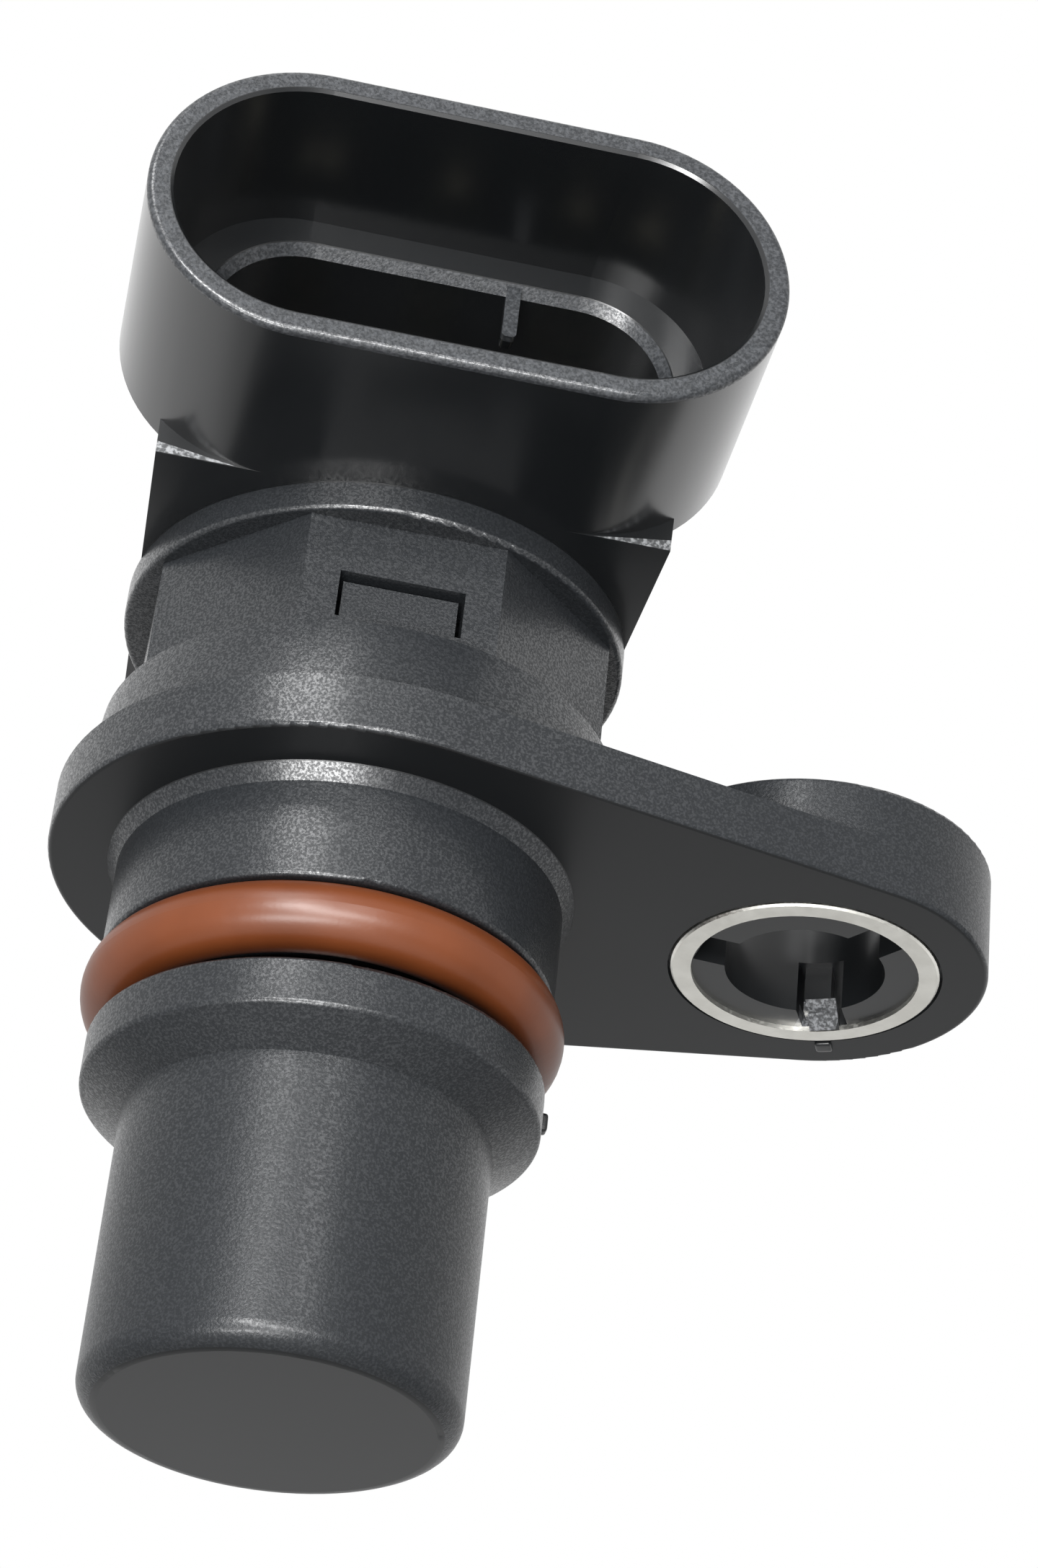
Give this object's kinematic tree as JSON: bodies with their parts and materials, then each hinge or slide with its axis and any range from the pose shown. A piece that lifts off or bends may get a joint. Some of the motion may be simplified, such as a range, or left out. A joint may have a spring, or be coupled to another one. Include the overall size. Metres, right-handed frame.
{
  "type": "camshaft position sensor",
  "caption": "Bolt-on camshaft position sensor: a round sensing tip with an O-ring seal, a flange with a bolt ear, and an oval plug socket at right angles.",
  "frame": {"origin": "on the spigot's axis, in the plane of the flange's mounting face", "axes": "+Z along the spigot axis from the sensing tip up to the connector, -Y the way the connector mouth faces, +X towards the bolt ear"},
  "size_m": [0.0392, 0.0304, 0.0487],
  "materials": {
    "black_plastic": "fine spark-eroded grain",
    "brown_rubber": "smooth satin",
    "bright_steel": "bright plated",
    "tinned_brass": "tinned",
    "potting_resin": "cast",
    "black_rubber": "moulded",
    "carrier_plastic": "moulded",
    "board_laminate": "satin",
    "chip_body": "moulded",
    "magnet_metal": "ground",
    "ceramic_part": "fired"
  },
  "bodies": {
    "root": {"housing_cup": "black_plastic", "connector_cap": "black_plastic", "o_ring": "brown_rubber", "mounting_bush": "bright_steel", "bolt_retainer": "black_plastic", "terminal_signal": "tinned_brass", "terminal_supply": "tinned_brass", "terminal_ground": "tinned_brass", "terminal_seal": "potting_resin", "inner_seal": "black_rubber", "sensor_carrier": "carrier_plastic", "circuit_board": "board_laminate", "hall_chip": "chip_body", "chip_lead_1": "tinned_brass", "chip_lead_2": "tinned_brass", "chip_lead_3": "tinned_brass", "bias_magnet": "magnet_metal", "flux_plate": "bright_steel", "capacitor_1": "ceramic_part", "capacitor_2": "ceramic_part", "resistor": "chip_body"}
  },
  "joints": []
}
